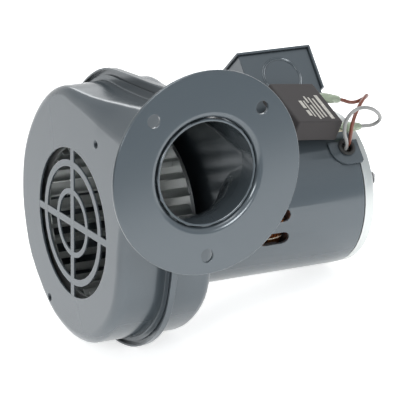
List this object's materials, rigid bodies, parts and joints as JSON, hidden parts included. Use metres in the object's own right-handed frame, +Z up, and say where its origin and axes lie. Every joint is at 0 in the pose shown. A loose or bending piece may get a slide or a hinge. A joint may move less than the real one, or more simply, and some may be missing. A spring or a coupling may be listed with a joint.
{
  "type": "combustion blower",
  "caption": "Compact combustion air blower: pressed scroll housing with a grilled side inlet and a round flanged outlet, driven by a vented capacitor-run motor with a wiring box.",
  "frame": {"origin": "the middle of the outlet flange's face", "axes": "-Y is the way the outlet flange faces, +X runs along the fan and motor axis from the inlet to the motor, +Z is up with the outlet above the fan axis"},
  "size_m": [0.2027, 0.1727, 0.1758],
  "materials": {
    "blue_grey_enamel": "gloss",
    "zinc_plate": "satin",
    "bright_steel": "satin",
    "cast_aluminium": "cast",
    "cast_rotor_aluminium": "cast",
    "lamination_steel": "stacked sheet",
    "enamelled_copper": "varnished wire",
    "sintered_bronze": "matte",
    "tinned_brass": "satin",
    "dark_plastic": "matte",
    "black_sheet": "satin",
    "black_rubber": "matte",
    "clear_vinyl": "clear, slightly green",
    "brown_lead": "gloss",
    "grey_lead": "gloss"
  },
  "bodies": {
    "housing": {"front_shell": "blue_grey_enamel", "rear_shell": "blue_grey_enamel", "outlet_flange": "blue_grey_enamel", "motor_can": "blue_grey_enamel", "wiring_box": "blue_grey_enamel", "knockout_disc": "blue_grey_enamel", "box_cover": "blue_grey_enamel", "lead_plate": "blue_grey_enamel", "motor_end_cover": "zinc_plate", "motor_mounting_screw_1": "bright_steel", "motor_mounting_screw_2": "bright_steel", "motor_mounting_screw_3": "bright_steel", "motor_mounting_screw_4": "bright_steel", "end_cover_screw_1": "bright_steel", "end_cover_screw_2": "bright_steel", "end_cover_screw_3": "bright_steel", "end_cover_screw_4": "bright_steel", "box_cover_screw_1": "bright_steel", "box_cover_screw_2": "bright_steel", "motor_front_plate": "cast_aluminium", "stator_core": "lamination_steel", "front_coil_ends": "enamelled_copper", "rear_coil_ends": "enamelled_copper", "front_bearing": "sintered_bronze", "rear_bearing": "sintered_bronze", "upper_terminal": "tinned_brass", "lower_terminal": "tinned_brass", "thermal_protector": "dark_plastic", "capacitor_case": "dark_plastic", "capacitor_bracket": "black_sheet", "lead_grommet": "black_rubber", "upper_boot": "clear_vinyl", "lower_boot": "clear_vinyl", "brown_lead": "brown_lead", "grey_lead": "grey_lead"},
    "rotor": {"wheel_backplate": "zinc_plate", "wheel_front_ring": "zinc_plate", "wheel_blades": "zinc_plate", "wheel_hub": "bright_steel", "wheel_set_screw": "bright_steel", "rotor_core": "lamination_steel", "rotor_front_ring": "cast_rotor_aluminium", "rotor_rear_ring": "cast_rotor_aluminium", "motor_shaft": "bright_steel", "front_thrust_washer": "dark_plastic", "rear_thrust_washer": "dark_plastic", "cooling_fan": "dark_plastic"}
  },
  "joints": [
    {"name": "fan_spin", "type": "hinge", "parent": "housing", "child": "rotor", "pos_m": [0, 0.1004, -0.0505], "axis": [1, 0, 0], "continuous": true}
  ]
}
